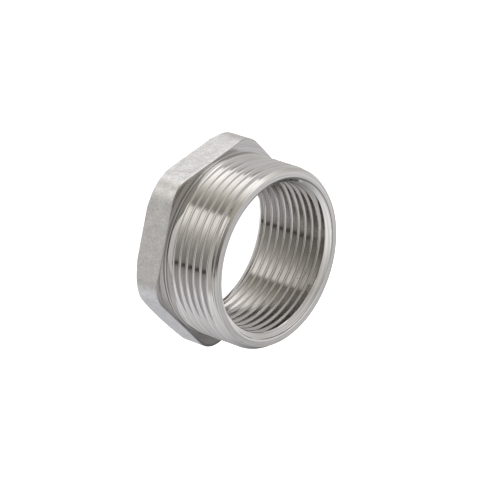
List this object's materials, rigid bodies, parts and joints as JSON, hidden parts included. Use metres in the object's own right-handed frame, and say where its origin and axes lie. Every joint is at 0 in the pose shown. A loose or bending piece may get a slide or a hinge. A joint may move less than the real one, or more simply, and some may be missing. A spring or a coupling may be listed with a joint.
{
  "type": "reducing hex bushing",
  "caption": "Metal reducing bushing with a hexagon head, an outside pipe thread on its short barrel and an inside pipe thread through the middle.",
  "frame": {"origin": "centre of the bore in the flat end face of the hexagon head", "axes": "+Z along the bore axis from the head's end face towards the barrel's rim; +X through a corner of the hexagon"},
  "size_m": [0.0548, 0.0494, 0.0248],
  "materials": {
    "bushing_metal": "bare corrosion-resistant steel: sandblasted cast look on the head's flats, bright turned faces and threads elsewhere"
  },
  "bodies": {
    "root": {"bushing_body": "bushing_metal"}
  },
  "joints": []
}
